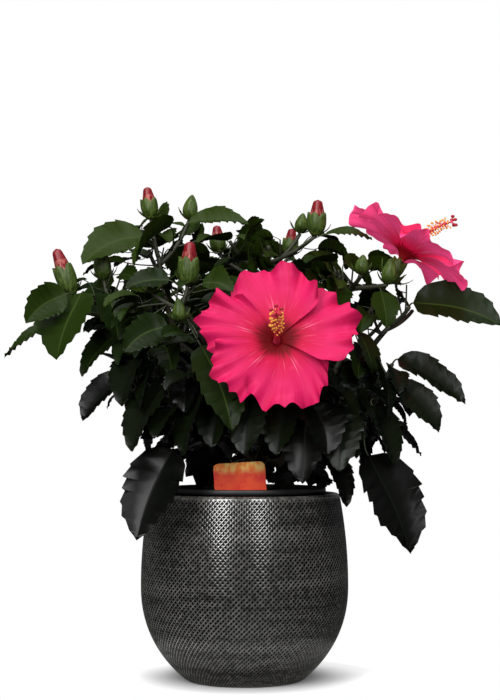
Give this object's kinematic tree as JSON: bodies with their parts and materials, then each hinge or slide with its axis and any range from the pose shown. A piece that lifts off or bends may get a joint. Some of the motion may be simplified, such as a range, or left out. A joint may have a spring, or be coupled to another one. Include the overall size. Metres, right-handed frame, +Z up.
{
  "type": "potted hibiscus shrub",
  "caption": "Potted hibiscus shrub: short woody stem forking into boughs, masses of toothed leaves, large open blooms and buds, in a round knurled cover pot.",
  "frame": {"origin": "centre of the pot's flat foot, on the surface that the pot stands on", "axes": "+Z up; -Y to the front, the side that the large front bloom faces; +X to the right seen from the front"},
  "size_m": [0.455, 0.3486, 0.4542],
  "materials": {
    "pot_glaze": "dark grey satin glaze over a knurled surface",
    "black_plastic": "black moulded plastic",
    "soil": "loose dark potting soil",
    "label_card": "printed gloss card",
    "bark": "grey-brown young bark",
    "leaf": "semi-gloss dark green leaf",
    "petal": "soft satin petal"
  },
  "bodies": {
    "root": {"pot": "pot_glaze", "nursery_pot": "black_plastic", "soil": "soil", "label_card": "label_card", "trunk": "bark", "bough_left": "bark", "bough_top_left": "bark", "bough_centre_left": "bark", "bough_low_left": "bark", "bough_low_front": "bark", "bough_low_centre": "bark", "bough_top_centre": "bark", "bough_top_right": "bark", "bough_right": "bark", "bough_low_right": "bark", "bough_back_left": "bark", "bough_back_right": "bark", "bough_back_top": "bark", "bough_low_back": "bark", "bough_bloom_front": "bark", "bough_bloom_side": "bark", "foliage_left_far": "leaf", "foliage_top_left": "leaf", "foliage_centre_left": "leaf", "foliage_left_low": "leaf", "foliage_front_low": "leaf", "foliage_centre_low": "leaf", "foliage_top_centre": "leaf", "foliage_top_right": "leaf", "foliage_right": "leaf", "foliage_right_low": "leaf", "foliage_back_left": "leaf", "foliage_back_right": "leaf", "foliage_back_top": "leaf", "foliage_low_back": "leaf", "bloom_front": "petal", "bloom_side": "petal"}
  },
  "joints": []
}
